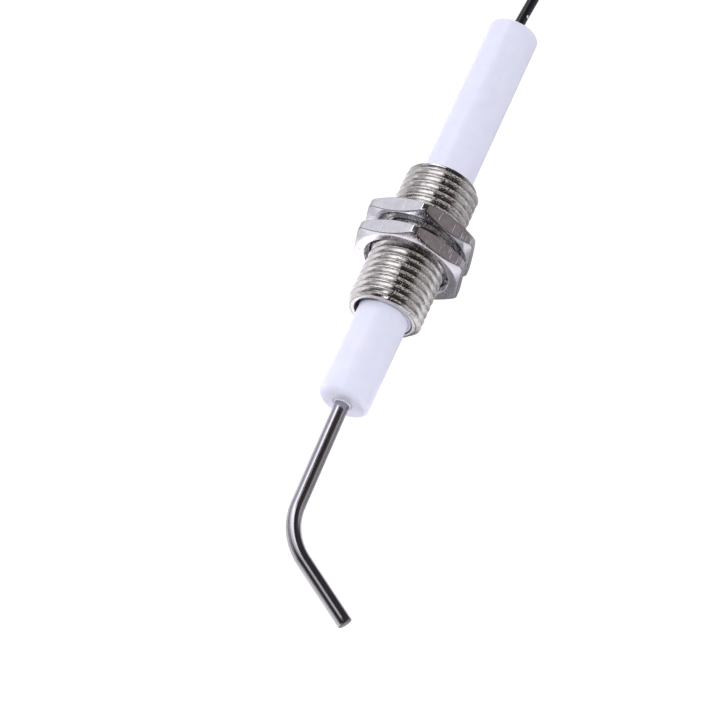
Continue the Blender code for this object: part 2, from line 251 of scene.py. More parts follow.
def thread_profile():
    """(height, radius) points along one pitch of the thread, from the middle of one root to the next."""
    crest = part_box("threaded_sleeve")[1].x
    flank = (crest - THREAD_ROOT) * math.tan(THREAD_HALF_ANGLE)
    root_edge = THREAD_ROOT_HALF_WIDTH
    crest_edge = root_edge + flank
    corners = [
        (-root_edge, THREAD_ROOT, THREAD_ROOT_ROUNDING),
        (root_edge, THREAD_ROOT, THREAD_ROOT_ROUNDING),
        (crest_edge, crest, THREAD_CREST_ROUNDING),
        (THREAD_PITCH - crest_edge, crest, THREAD_CREST_ROUNDING),
        (THREAD_PITCH - root_edge, THREAD_ROOT, THREAD_ROOT_ROUNDING),
        (THREAD_PITCH + root_edge, THREAD_ROOT, THREAD_ROOT_ROUNDING),
    ]
    points = []
    for before, corner, after in zip(corners, corners[1:], corners[2:]):
        points += rounded_corner(before[:2], corner[:2], after[:2], corner[2])
    return points


def thread_start():
    """Height of the groove's middle at angle 0, read from the CAD thread's root."""
    total = 0.0
    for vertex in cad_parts["threaded_sleeve"].data.vertices:
        x, y, z = vertex.co
        if abs(math.hypot(x, z) - THREAD_ROOT) < 0.01 * MM:
            total += cmath.exp(2j * math.pi * y / THREAD_PITCH - 1j * math.atan2(-z, x))
    return cmath.phase(total) / (2 * math.pi) * THREAD_PITCH


def join_rings(shape, first, second):
    """Triangles between two rings of vertices round the Y axis, which may have different counts."""
    def turn(vertex):
        return math.atan2(-vertex.co.z, vertex.co.x)

    rings = [sorted(ring, key=turn) for ring in (first, second)]
    turns = [[turn(vertex) for vertex in ring] + [turn(ring[0]) + 2 * math.pi] for ring in rings]
    at = [0, 0]
    while at[0] < len(rings[0]) or at[1] < len(rings[1]):
        here = [ring[k % len(ring)] for ring, k in zip(rings, at)]
        if at[1] == len(rings[1]) or (at[0] < len(rings[0]) and turns[0][at[0] + 1] <= turns[1][at[1] + 1]):
            side = 0
        else:
            side = 1
        at[side] += 1
        shape.faces.new([here[0], here[1], rings[side][at[side] % len(rings[side])]])


def worn(point, radius):
    """The radius and axial shift of a worn thread at a point. The radius never passes the nominal one."""
    uneven = 0.5 + 0.5 * noise.noise(point / (0.8 * MM))
    dent = max(noise.noise(point / (1.6 * MM) + Vector((7.3, 0.0, 0.0))) - 0.3, 0.0)
    shift = THREAD_WAVER * noise.noise(point / (0.8 * MM) + Vector((0.0, 4.1, 9.2)))
    return radius - THREAD_WEAR_DEPTH * uneven - THREAD_DENT_DEPTH * dent, shift


def make_sleeve(material):
    """A fine helical thread between two flat ends, with a plain bore."""
    low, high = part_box("threaded_sleeve")
    columns = SLEEVE_COLUMNS
    start = thread_start()
    profile = thread_profile()
    first = math.floor((low.y - start) / THREAD_PITCH) - 2
    last = math.ceil((high.y - start) / THREAD_PITCH) + 2
    path = [(start + turn * THREAD_PITCH + s, r) for turn in range(first, last) for s, r in profile]

    shape = bmesh.new()
    grid = []
    for i in range(columns):
        angle = 2 * math.pi * i / columns
        across, up = math.cos(angle), -math.sin(angle)
        column = []
        for s, r in path:
            y = s + THREAD_PITCH * i / columns
            r, shift = worn(Vector((r * across, y, r * up)), r)
            y += shift
            inside = max(min(y - low.y, high.y - y), 0.0)
            radius = min(r, END_RING + inside)
            column.append(shape.verts.new((radius * across, y, radius * up)))
        grid.append(column)
    for i in range(columns):
        shift = len(profile) if i == columns - 1 else 0
        ahead = grid[(i + 1) % columns]
        for j in range(len(path) - 1):
            if j + 1 + shift < len(path):
                shape.faces.new([grid[i][j], ahead[j + shift], ahead[j + 1 + shift], grid[i][j + 1]])
    for y, outward in ((low.y, -1.0), (high.y, 1.0)):
        bmesh.ops.bisect_plane(
            shape, geom=shape.verts[:] + shape.edges[:] + shape.faces[:], dist=1e-8,
            plane_co=(0.0, y, 0.0), plane_no=(0.0, outward, 0.0), clear_outer=True,
        )
    bore = []
    for y, inwards in ((low.y, 1.0), (high.y, -1.0)):
        rim = {
            vertex for edge in shape.edges if edge.is_boundary for vertex in edge.verts
            if abs(vertex.co.y - y) < 1e-7
        }
        rings = []
        for radius, depth in ((SLEEVE_BORE + SLEEVE_BORE_CHAMFER, 0.0), (SLEEVE_BORE, SLEEVE_BORE_CHAMFER)):
            centre = Vector((0.0, y + inwards * depth, 0.0))
            rings.append(ring_points(centre, Vector((0.0, 1.0, 0.0)), radius, columns))
        chamfer = add_grid(shape, rings, False, True)
        join_rings(shape, rim, chamfer[0])
        bore.append(chamfer[1])
    for k in range(columns):
        ahead = (k + 1) % columns
        shape.faces.new([bore[0][k], bore[0][ahead], bore[1][ahead], bore[1][k]])
    weigh_normals(add_piece("threaded_sleeve_fine", shape, material, ASSEMBLY, "threaded_sleeve"))


def corner_angle(node, corner_radius):
    """The angle of one of a nut's corners about the axis, from +X towards +Z, read from its CAD mesh."""
    total = 0.0
    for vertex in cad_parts[node].data.vertices:
        x, _, z = vertex.co
        if math.hypot(x, z) > corner_radius - 0.02 * MM:
            total += cmath.exp(6j * math.atan2(z, x))
    return cmath.phase(total) / 6


def nut_angles():
    """Angles from the middle of one flat to the middle of the next, closer together near the corner."""
    coarse = [math.radians(2.0 * i) for i in range(13)]
    fine = [math.radians(24.6 + 0.3 * i) for i in range(37)]
    return coarse + fine + [math.radians(36.0 + 2.0 * i) for i in range(12)]


def make_nut(name, node, body, material):
    """A thin hexagon nut with turned-down corners, bevelled faces, countersunk bore and softened edges."""
    low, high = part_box(node)
    radii = [math.hypot(vertex.co.x, vertex.co.z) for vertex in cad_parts[node].data.vertices]
    corner, bore = max(radii), min(radii)
    first_corner = corner_angle(node, corner)
    corner -= NUT_CORNER_SHORTFALL
    shape = bmesh.new()
    rows = []
    for side in range(6):
        for offset in nut_angles():
            flat = NUT_FLAT_RADIUS / math.cos(offset if offset < math.pi / 6 else offset - math.pi / 3)
            blend = max(NUT_CORNER_SOFTNESS - abs(flat - corner), 0.0) / NUT_CORNER_SOFTNESS
            outer = min(flat, corner) - blend * blend * NUT_CORNER_SOFTNESS / 4
            drop = (outer - NUT_FACE_RADIUS) * math.tan(NUT_CHAMFER_ANGLE)
            outline = rounded_outline([
                (outer, high.y - drop, 0.16 * MM),
                (outer, low.y + drop, 0.16 * MM),
                (NUT_FACE_RADIUS, low.y, 0.5 * MM),
                (bore + NUT_COUNTERSINK, low.y, 0.12 * MM),
                (bore, low.y + NUT_COUNTERSINK, 0.1 * MM),
                (bore, high.y - NUT_COUNTERSINK, 0.1 * MM),
                (bore + NUT_COUNTERSINK, high.y, 0.12 * MM),
                (NUT_FACE_RADIUS, high.y, 0.5 * MM),
            ])
            angle = first_corner + math.radians(30 + 60 * side) + offset
            rows.append([Vector((r * math.cos(angle), y, r * math.sin(angle))) for r, y in outline])
    add_grid(shape, rows, True, True)
    weigh_normals(add_piece(name, shape, material, body, node))


def rod_heading(angle):
    return Vector((math.sin(angle), -math.cos(angle), 0.0))


def spark_tip():
    mouth = Vector((0.0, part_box("ceramic_insulator")[0].y, 0.0))
    bend_vertex = mouth + ROD_LEG_BEFORE_BEND * rod_heading(ROD_LEAN)
    return bend_vertex + ROD_LEG_AFTER_BEND * rod_heading(ROD_LEAN + ROD_BEND_ANGLE)


def make_rod(material):
    """The bent rod, with a chamfered tip."""
    mouth = Vector((0.0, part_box("ceramic_insulator")[0].y, 0.0))
    tail = Vector((0.0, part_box("electrode_rod")[1].y, 0.0))
    tangent = ROD_BEND_RADIUS * math.tan(ROD_BEND_ANGLE / 2)
    bend_start = mouth + (ROD_LEG_BEFORE_BEND - tangent) * rod_heading(ROD_LEAN)
    centre = bend_start + ROD_BEND_RADIUS * Vector((math.cos(ROD_LEAN), math.sin(ROD_LEAN), 0.0))
    tip = spark_tip()
    end_heading = rod_heading(ROD_LEAN + ROD_BEND_ANGLE)

    points = [tail.lerp(mouth, i / 8) for i in range(8)]
    points += [mouth.lerp(bend_start, i / 12) for i in range(12)]
    bend_steps = 28
    for i in range(bend_steps + 1):
        angle = ROD_LEAN + ROD_BEND_ANGLE * i / bend_steps
        points.append(centre - ROD_BEND_RADIUS * Vector((math.cos(angle), math.sin(angle), 0.0)))
    last_leg = tip - points[-1]
    points += [points[-1] + last_leg * i / 10 for i in range(1, 10)]

    chamfer = 0.22 * MM
    rows, scale = [], []
    for point, along, distance in with_directions(points):
        rows.append(ring_points(point, along, ROD_RADIUS, 48))
        scale.append(distance / MM)
    for share in (0.0, 0.35, 0.75, 1.0):
        depth = chamfer * share
        centre = tip - end_heading * (chamfer - depth)
        rows.append(ring_points(centre, end_heading, ROD_RADIUS - 0.8 * depth * share, 48))
        scale.append(scale[-1] + 0.1)
    shape = bmesh.new()
    grid = add_grid(shape, rows, False, True, scale)
    shape.faces.new(grid[0])
    shape.faces.new(grid[-1])
    weigh_normals(add_piece("electrode_rod_fine", shape, material, ASSEMBLY, "electrode_rod"))


def terminal_heading():
    return Vector((-math.sin(TERMINAL_HEADING), math.cos(TERMINAL_HEADING), 0.0))


def terminal_start():
    """The rear end of the terminal's crimp. Its other end lies opposite the spark tip's edge."""
    last_turn = ROD_LEAN + ROD_BEND_ANGLE
    tip_edge = spark_tip() + ROD_RADIUS * Vector((math.cos(last_turn), -math.sin(last_turn), 0.0))
    return TERMINAL_END_FROM_BOX - tip_edge - TERMINAL_LENGTH * terminal_heading()


def lead_points(start_y, past_terminal_start):
    """Points along the lead, from start_y on the axis to a distance past the terminal's rear end."""
    mouth = Vector((0.0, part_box("ceramic_insulator")[1].y, 0.0))
    heading = terminal_heading()
    straight_from = terminal_start() - CRIMP_SLEEVE_OVERLAP * heading
    reach = (straight_from - mouth).length * LEAD_STIFFNESS
    pull_out = mouth + reach * Vector((math.sin(LEAD_LEAN), math.cos(LEAD_LEAN), 0.0))
    pull_in = straight_from - reach * heading
    start = Vector((0.0, start_y, 0.0))
    end = terminal_start() + past_terminal_start * heading
    points = [start.lerp(mouth, i / 8) for i in range(8)]
    steps = 60
    for i in range(steps + 1):
        t = i / steps
        s = 1.0 - t
        points.append(
            s * s * s * mouth + 3 * s * s * t * pull_out
            + 3 * s * t * t * pull_in + t * t * t * straight_from
        )
    points += [straight_from.lerp(end, i / 6) for i in range(1, 7)]
    return points


def make_lead(material):
    """The lead's covering: slightly uneven, and open at both ends round the strands."""
    path = with_directions(lead_points(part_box("lead_insulation")[0].y, -0.6 * MM))
    outer, inner, scale = [], [], []
    for point, along, distance in path:
        uneven = 0.012 * MM * noise.noise(Vector((distance / MM * 0.35, 3.1, 0.0)))
        outer.append(ring_points(point, along, INSULATION_RADIUS - 0.012 * MM + uneven, 32))
        inner.append(ring_points(point, along, INSULATION_RADIUS - INSULATION_WALL, 32))
        scale.append(distance / MM)
    rows = outer + inner[::-1]
    shape = bmesh.new()
    add_grid(shape, rows, True, True, scale + scale[::-1] + [scale[0]])
    add_piece("lead_covering", shape, material, ASSEMBLY, "lead_insulation")


def make_strands(material):
    """The conductor: six strands twisted round a seventh."""
    path = with_directions(lead_points(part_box("lead_conductor")[0].y, 4.6 * MM))
    strand = CONDUCTOR_RADIUS / 3
    twist_length = 9.0 * MM
    shape = bmesh.new()
    for index in range(7):
        offset = 0.0 if index == 0 else 2 * strand
        rows, scale = [], []
        for point, along, distance in path:
            angle = 2 * math.pi * (index / 6 + distance / twist_length)
            across = along.cross(UP).normalized()
            centre = point + offset * (math.cos(angle) * across + math.sin(angle) * UP)
            rows.append(ring_points(centre, along, 0.98 * strand, 10))
            scale.append(distance / MM)
        grid = add_grid(shape, rows, False, True, scale)
        shape.faces.new(grid[0])
        shape.faces.new(grid[-1])
    add_piece("lead_strands", shape, material, ASSEMBLY, "lead_conductor")


def make_crimp_sleeve(material):
    """A soft sleeve with a rounded collar, three grip ribs and an open end."""
    radius, wall = 2.4 * MM, 0.5 * MM
    lead_hole = INSULATION_RADIUS + 0.05 * MM
    corners = [
        (radius - 0.1 * MM, CRIMP_SLEEVE_LENGTH, 0.2 * MM),
        (radius - 0.1 * MM, 6.6 * MM, 0.3 * MM),
    ]
    for i in range(3):
        middle = (5.9 - 1.35 * i) * MM
        corners += [
            (radius, middle + 0.35 * MM, 0.12 * MM),
            (radius, middle - 0.35 * MM, 0.12 * MM),
            (radius - 0.18 * MM, middle - 0.55 * MM, 0.12 * MM),
            (radius - 0.18 * MM, middle - 0.8 * MM, 0.12 * MM),
        ]
    corners += [
        (radius - 0.7 * MM, 1.2 * MM, 0.6 * MM),
        (INSULATION_RADIUS + 0.6 * MM, 0.0, 0.25 * MM),
        (lead_hole, 0.0, 0.1 * MM),
        (lead_hole, 1.2 * MM, 0.0),
        (radius - wall, 1.8 * MM, 0.0),
        (radius - wall, CRIMP_SLEEVE_LENGTH, 0.12 * MM),
    ]
    heading = terminal_heading()
    turn = UP.rotation_difference(heading).to_matrix().to_4x4()
    place = Matrix.Translation(terminal_start() - CRIMP_SLEEVE_OVERLAP * heading) @ turn
    lathe("crimp_cover", rounded_outline(corners), 64, material, "crimp_sleeve", place)


def strip_section(flat_half_width, curl_radius, curl_angle, columns):
    """(across, up) points over a strip whose two sides curl up and inwards from a flat middle."""
    half_length = flat_half_width + curl_radius * curl_angle
    points = []
    for i in range(columns + 1):
        run = half_length * (2 * i / columns - 1)
        turn = max(abs(run) - flat_half_width, 0.0) / curl_radius
        across = min(abs(run), flat_half_width) + curl_radius * math.sin(turn)
        points.append((math.copysign(across, run), curl_radius * (1.0 - math.cos(turn))))
    return points


def make_terminal(material):
    """A push-on terminal folded from one strip, with a locking dimple in the receptacle's floor."""
    barrel = (0.15 * MM, 1.2 * MM, math.radians(158))
    waist = (0.9 * MM, 0.8 * MM, math.radians(75))
    receptacle = (1.75 * MM, 0.85 * MM, math.radians(215))
    stations = [
        (0.0, barrel), (5.2 * MM, barrel), (6.6 * MM, waist),
        (7.6 * MM, waist), (8.8 * MM, receptacle), (TERMINAL_LENGTH, receptacle),
    ]
    floor_z, sheet = -1.1 * MM, 0.35 * MM
    dimple_at, dimple_radius, dimple_height = 12.6 * MM, 0.85 * MM, 0.28 * MM
    place = Matrix.Translation(terminal_start()) @ Matrix.Rotation(TERMINAL_HEADING, 4, "Z")
    rows = []
    for (start, first), (end, second) in zip(stations, stations[1:]):
        steps = max(2, round((end - start) / (0.3 * MM)))
        for i in range(steps + (end == TERMINAL_LENGTH)):
            t = i / steps
            ease = t * t * (3 - 2 * t)
            section = [a + (b - a) * ease for a, b in zip(first, second)]
            along = start + (end - start) * t
            row = []
            for across, up in strip_section(*section, 56):
                away = math.hypot(across, along - dimple_at) / dimple_radius
                in_dimple = away < 1 and up < sheet / 2
                rise = dimple_height * (1 + math.cos(math.pi * away)) / 2 if in_dimple else 0.0
                row.append(place @ Vector((across, along, floor_z + up + rise)))
            rows.append(row)
    shape = bmesh.new()
    add_grid(shape, rows, False, False)
    piece = add_piece("push_on_terminal", shape, material, ASSEMBLY, "terminal")
    thicken = piece.modifiers.new("Sheet", "SOLIDIFY")
    thicken.thickness = sheet
    thicken.offset = 0.0
    soften = piece.modifiers.new("Edges", "BEVEL")
    soften.width = 0.05 * MM
    soften.segments = 2
    soften.limit_method = "ANGLE"
    soften.angle_limit = math.radians(50)
    weigh_normals(piece)


def filling(inner, outer, front, rear, front_depth, rear_depth):
    """A cement ring's outline. Each end's depth is a function of the share of the way out."""
    shares = [i / 8 for i in range(9)]
    outline = [(outer + (inner - outer) * s, front + front_depth(1.0 - s)) for s in shares]
    return outline + [(inner + (outer - inner) * s, rear - rear_depth(s)) for s in shares]


def make_fillings(material):
    """The cement round the rod, round the lead and under the sleeve."""
    gap = 0.02 * MM
    ceramic_low, ceramic_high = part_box("ceramic_insulator")
    sleeve_low, sleeve_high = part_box("threaded_sleeve")

    def sag(amount):
        return lambda share: amount * math.sin(math.pi * share)

    def climb(height, dip):
        """Cement that climbs up the wire in its middle and dips to the bore's rounded edge."""
        return lambda share: dip * share * share - height * (1.0 - share) ** 2

    rod_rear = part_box("rod_cement")[1].y
    lathe(
        "rod_cement_fill",
        filling(
            ROD_RADIUS + gap, ROD_BORE - gap, ceramic_low.y, rod_rear,
            climb(0.16 * MM, 0.10 * MM), sag(0.1 * MM),
        ),
        96, material, "rod_cement",
    )
    lead_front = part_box("lead_cement")[0].y
    lathe(
        "lead_cement_fill",
        filling(
            INSULATION_RADIUS + gap, LEAD_BORE - gap, lead_front, ceramic_high.y,
            sag(0.3 * MM), lambda share: 0.45 * MM * math.sin(math.pi * share) + 0.15 * MM * share,
        ),
        96, material, "lead_cement",
    )

    def sleeve_filling(angle):
        """Nearly flush with the sleeve's ends, apart from a void on the -X side of the front end."""
        from_void = abs(math.remainder(angle - SLEEVE_VOID_ANGLE, 2 * math.pi)) / SLEEVE_VOID_HALF_WIDTH
        void = SLEEVE_VOID_DEPTH * min(max(2.0 - 2.0 * from_void, 0.0), 1.0)
        wave = 0.04 * MM * noise.noise(Vector((3.0 * math.cos(angle), 3.0 * math.sin(angle), 0.7)))
        return filling(
            CERAMIC_RADIUS + gap, SLEEVE_BORE - gap, sleeve_low.y + 0.12 * MM + wave + void,
            sleeve_high.y - 0.12 * MM - wave, sag(0.06 * MM), sag(0.06 * MM),
        )

    lathe("sleeve_cement_fill", sleeve_filling, 192, material, "sleeve_cement")


def make_ferrule(material):
    """The crimp ferrule inside the ceramic, with two crimped rings."""
    low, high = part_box("splice_ferrule")
    corners = [(high.x, high.y, 0.15 * MM)]
    for middle in (high.y - 3.0 * MM, low.y + 2.6 * MM):
        corners += [
            (high.x, middle + 0.7 * MM, 0.1 * MM),
            (high.x - 0.14 * MM, middle + 0.45 * MM, 0.1 * MM),
            (high.x - 0.14 * MM, middle - 0.45 * MM, 0.1 * MM),
            (high.x, middle - 0.7 * MM, 0.1 * MM),
        ]
    corners += [
        (high.x, low.y, 0.15 * MM),
        (ROD_RADIUS + 0.05 * MM, low.y, 0.12 * MM),
        (ROD_RADIUS + 0.05 * MM, FERRULE_STEP, 0.0),
        (CONDUCTOR_RADIUS + 0.05 * MM, FERRULE_STEP, 0.0),
        (CONDUCTOR_RADIUS + 0.05 * MM, high.y, 0.12 * MM),
    ]
    lathe("splice_ferrule_fine", rounded_outline(corners), 64, material, "splice_ferrule")


# ---------------------------------------------------------------- materials


def add_node(tree, kind, inputs=None, **settings):
    """Adds a shader node. An input is a value or another node's output."""
    made = tree.nodes.new("ShaderNode" + kind)
    for name, value in settings.items():
        setattr(made, name, value)
    for key, value in (inputs or {}).items():
        if isinstance(value, bpy.types.NodeSocket):
            tree.links.new(value, made.inputs[key])
        else:
            made.inputs[key].default_value = value
    return made


def new_material(name, slot=None):
    """An empty node material for one of the record's slots, with its tree and its Principled shader."""
    made = bpy.data.materials.new(name)
    made["slot"] = slot or name
    made.use_nodes = True
    tree = made.node_tree
    return made, tree, tree.nodes["Principled BSDF"]


def millimetres(tree, stretch=(1.0, 1.0, 1.0)):
    """Object coordinates in millimetres, each axis multiplied by its stretch."""
    place = add_node(tree, "TexCoord").outputs["Object"]
    scale = tuple(1000.0 * s for s in stretch)
    return add_node(tree, "Mapping", {"Vector": place, "Scale": scale}).outputs["Vector"]


def noise_at(tree, vector, scale, detail=3.0, roughness=0.5):
    inputs = {"Vector": vector, "Scale": scale, "Detail": detail, "Roughness": roughness}
    return add_node(tree, "TexNoise", inputs).outputs["Fac"]


def ramp(tree, value, stops):
    """A colour ramp through (position, colour) stops."""
    made = add_node(tree, "ValToRGB", {"Fac": value})
    elements = made.color_ramp.elements
    while len(elements) < len(stops):
        elements.new(0.5)
    for element, (position, colour) in zip(elements, stops):
        element.position = position
        element.color = (*colour, 1.0)
    return made.outputs["Color"]


def level(tree, value, from_low, from_high, to_low, to_high):
    """Maps a range of one value to another range, held at both ends."""
    inputs = {
        "Value": value, "From Min": from_low, "From Max": from_high,
        "To Min": to_low, "To Max": to_high,
    }
    return add_node(tree, "MapRange", inputs).outputs["Result"]


def bump(tree, height, distance, strength=1.0, normal=None):
    inputs = {"Height": height, "Distance": distance, "Strength": strength}
    if normal:
        inputs["Normal"] = normal
    return add_node(tree, "Bump", inputs).outputs["Normal"]


def wire_up(tree, shader, **inputs):
    """Links or sets the shader's inputs, with underscores for the spaces in their names."""
    for key, value in inputs.items():
        socket = shader.inputs[key.replace("_", " ")]
        if isinstance(value, bpy.types.NodeSocket):
            tree.links.new(value, socket)
        else:
            socket.default_value = value


def product(tree, *values):
    """All the values multiplied together."""
    result = values[0]
    for value in values[1:]:
        result = add_node(tree, "Math", {0: result, 1: value}, operation="MULTIPLY").outputs["Value"]
    return result


def band(tree, value, start, full, fade, gone):
    """0 up to the start, 1 from full to fade, and 0 again once gone."""
    return product(tree, level(tree, value, start, full, 0.0, 1.0), level(tree, value, fade, gone, 1.0, 0.0))


def between(tree, value, low, high, soft):
    """1 where the value lies between two limits, with soft sides."""
    return band(tree, value, low - soft, low, high, high + soft)


def mixed(tree, share, first, second):
    """Two colours mixed by a share of the second."""
    inputs = {"Factor": share, "A": first, "B": second}
    return add_node(tree, "Mix", inputs, data_type="RGBA").outputs["Result"]


def nickel_plate(name, dark, light, edges, grain_height):
    """Bright nickel over turned steel: rings from the lathe, patchy gloss, fine scratches, and painted shade
    in patches along the bevelled edges.

    The thread's crests are worn matte in flakes, mostly on its +X side, and its roots and the bore are
    darkened with painted shade.
    """
    made, tree, shader = new_material(name, "nickel_plate")
    place = millimetres(tree)
    patches = noise_at(tree, place, 0.9, 4.0)
    axis = add_node(tree, "SeparateXYZ", {"Vector": place})
    turn = add_node(
        tree, "Math", {0: axis.outputs["X"], 1: axis.outputs["Z"]}, operation="ARCTAN2",
    ).outputs["Value"]
    unrolled = add_node(
        tree, "CombineXYZ", {"X": product(tree, turn, 6.0), "Y": product(tree, axis.outputs["Y"], 3.0)},
    ).outputs["Vector"]
    grain = noise_at(tree, unrolled, 1.3, 3.0, 0.6)
    flat = add_node(tree, "CombineXYZ", {"X": axis.outputs["X"], "Y": 0.0, "Z": axis.outputs["Z"]})
    radius = add_node(tree, "VectorMath", {0: flat.outputs["Vector"]}, operation="LENGTH").outputs["Value"]
    rings = add_node(tree, "TexNoise", {"W": radius, "Scale": 9.0, "Detail": 2.0}, noise_dimensions="1D")
    brushed = noise_at(tree, millimetres(tree, (4.0, 0.5, 4.0)), 2.5, 3.0)
    long_marks = noise_at(tree, millimetres(tree, (4.5, 0.3, 4.5)), 1.0, 1.0)
    scratch = level(tree, long_marks, 0.665, 0.695, 0.0, 1.0)
    worn_crest = product(
        tree, band(tree, radius, *WORN_CREST_RADII),
        level(tree, noise_at(tree, unrolled, 2.6, 2.0, 0.6), 0.48, 0.52, 0.0, 1.0),
        level(tree, turn, -0.30, 0.0, 0.2, 1.0),
    )

    colour = ramp(tree, patches, [(0.3, dark), (0.7, light)])
    outward = add_node(tree, "TexCoord").outputs["Normal"]
    normal_y = add_node(tree, "SeparateXYZ", {"Vector": outward}).outputs["Y"]
    slope = add_node(tree, "Math", {0: normal_y}, operation="ABSOLUTE").outputs["Value"]
    on_edge = product(tree, level(tree, slope, 0.2, 0.4, 0.0, 1.0), level(tree, slope, 0.76, 0.86, 1.0, 0.0))
    # painted shade: the bevels and rounded edges are darkened in patches, by the share that edges gives
    edge_shade = product(tree, on_edge, level(tree, patches, 0.36, 0.55, 0.45, 1.0), edges)
    colour = mixed(tree, edge_shade, colour, (0.09, 0.08, 0.10, 1.0))
    # painted shade in the thread's roots and down the bore
    root_shade = product(tree, band(tree, radius, *ROOT_SHADE_RADII), 0.6)
    colour = mixed(tree, root_shade, colour, (0.16, 0.15, 0.15, 1.0))
    bore_shade = level(tree, radius, *BORE_SHADE_RADII, 1.0, 0.0)
    colour = mixed(tree, bore_shade, colour, (0.05, 0.045, 0.045, 1.0))

    rough = level(tree, patches, 0.3, 0.7, 0.07, 0.17)
    scratch, worn_crest = product(tree, scratch, 0.55), product(tree, worn_crest, 0.75)
    marks = add_node(tree, "Math", {0: scratch, 1: worn_crest}, operation="MAXIMUM").outputs["Value"]
    rough = add_node(tree, "Math", {0: rough, 1: marks}, operation="ADD").outputs["Value"]
    normal = bump(tree, rings.outputs["Fac"], 0.005 * MM, 0.6)
    normal = bump(tree, brushed, 0.006 * MM, 0.6, normal)
    normal = bump(tree, grain, grain_height, 0.8, normal)
    metal = level(tree, marks, 0.0, 0.75, 1.0, 0.45)
    wire_up(tree, shader, Base_Color=colour, Roughness=rough, Metallic=metal, Normal=normal)
    return made


def rod_steel():
    """Drawn wire: fine lines along its length, and a dark, rough cut at the tip."""
    made, tree, shader = new_material("rod_steel")
    uv = add_node(tree, "TexCoord").outputs["UV"]
    along = add_node(tree, "Mapping", {"Vector": uv, "Scale": (60.0, 0.25, 1.0)}).outputs["Vector"]
    lines = noise_at(tree, along, 1.0, 4.0)
    patches = noise_at(tree, millimetres(tree), 0.45, 4.0)
    grain = noise_at(tree, millimetres(tree), 6.0, 2.0)
    colour = ramp(tree, patches, [(0.3, (0.43, 0.42, 0.45)), (0.7, (0.51, 0.50, 0.53))])
    outward = add_node(
        tree, "VectorMath",
        {0: add_node(tree, "TexCoord").outputs["Normal"], 1: rod_heading(ROD_LEAN + ROD_BEND_ANGLE)},
        operation="DOT_PRODUCT",
    ).outputs["Value"]
    cut = level(tree, outward, 0.35, 0.85, 0.0, 1.0)
    colour = mixed(tree, cut, colour, (0.14, 0.13, 0.14, 1.0))
    rough = level(tree, lines, 0.3, 0.7, 0.10, 0.20)
    rough = add_node(tree, "Math", {0: rough, 1: product(tree, cut, 0.2)}, operation="ADD").outputs["Value"]
    normal = bump(tree, lines, 0.004 * MM, 0.6)
    normal = bump(tree, grain, 0.004 * MM, 0.4, normal)
    wire_up(tree, shader, Base_Color=colour, Roughness=rough, Metallic=1.0, Normal=normal)
    return made


def glazed_ceramic():
    """Dense white ceramic with a soft gloss, a faint mottle and a few dark specks."""
    made, tree, shader = new_material("glazed_ceramic")
    place = millimetres(tree)
    mottle = noise_at(tree, place, 0.5, 3.0)
    fine = noise_at(tree, place, 5.0, 3.0)
    specks = add_node(tree, "TexVoronoi", {"Vector": place, "Scale": 0.55}).outputs["Distance"]
    body = ramp(tree, mottle, [(0.3, (0.75, 0.76, 0.91)), (0.7, (0.78, 0.79, 0.94))])
    fleck = level(tree, specks, 0.03, 0.07, 0.75, 0.0)
    colour = mixed(tree, fleck, body, (0.60, 0.59, 0.66, 1.0))
    rough = level(tree, fine, 0.3, 0.7, 0.28, 0.38)
    normal = bump(tree, fine, 0.006 * MM, 0.5)
    wire_up(
        tree, shader, Base_Color=colour, Roughness=rough, Normal=normal,
        Coat_Weight=0.3, Coat_Roughness=0.2, Subsurface_Weight=0.15, Subsurface_Scale=0.6 * MM,
    )
    return made


def black_silicone():
    """Soft black covering with lengthwise drag marks, a little dust and one small white fleck."""
    made, tree, shader = new_material("black_silicone")
    uv = add_node(tree, "TexCoord").outputs["UV"]
    along = add_node(tree, "Mapping", {"Vector": uv, "Scale": (14.0, 0.12, 1.0)}).outputs["Vector"]
    lines = noise_at(tree, along, 1.0, 4.0)
    place = millimetres(tree)
    grain = noise_at(tree, place, 7.0, 3.0)
    dust = level(tree, noise_at(tree, place, 2.6, 2.0), 0.70, 0.80, 0.0, 0.4)
    body = ramp(tree, lines, [(0.4, (0.004, 0.004, 0.006)), (0.7, (0.016, 0.016, 0.020))])
    colour = mixed(tree, dust, body, (0.18, 0.18, 0.18, 1.0))
    mouth = 1000.0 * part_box("ceramic_insulator")[1].y
    off_fleck = add_node(
        tree, "VectorMath", {0: place, 1: (WHITE_FLECK[0], mouth + WHITE_FLECK[1], WHITE_FLECK[2])},
        operation="DISTANCE",
    ).outputs["Value"]
    ragged = level(tree, grain, 0.0, 1.0, -0.15, 0.15)
    uneven = add_node(tree, "Math", {0: off_fleck, 1: ragged}, operation="ADD").outputs["Value"]
    fleck = level(tree, uneven, 0.20, 0.26, 1.0, 0.0)
    colour = mixed(tree, fleck, colour, (0.85, 0.85, 0.85, 1.0))
    rough = level(tree, lines, 0.3, 0.7, 0.18, 0.34)
    normal = bump(tree, lines, 0.02 * MM, 0.6)
    normal = bump(tree, grain, 0.01 * MM, 0.4, normal)
    wire_up(tree, shader, Base_Color=colour, Roughness=rough, Normal=normal)
    return made


def cement():
    """Pale potting cement: grainy and dull, with small pores."""
    made, tree, shader = new_material("cement")
    place = millimetres(tree)
    grain = noise_at(tree, place, 6.0, 5.0, 0.7)
    pores = add_node(tree, "TexVoronoi", {"Vector": place, "Scale": 3.0}).outputs["Distance"]
    colour = ramp(tree, grain, [(0.3, (0.66, 0.65, 0.68)), (0.7, (0.82, 0.82, 0.88))])
    normal = bump(tree, grain, 0.05 * MM, 0.8)
    normal = bump(tree, level(tree, pores, 0.0, 0.25, 0.0, 1.0), 0.04 * MM, 0.7, normal)
    wire_up(tree, shader, Base_Color=colour, Roughness=0.9, Normal=normal)
    return made


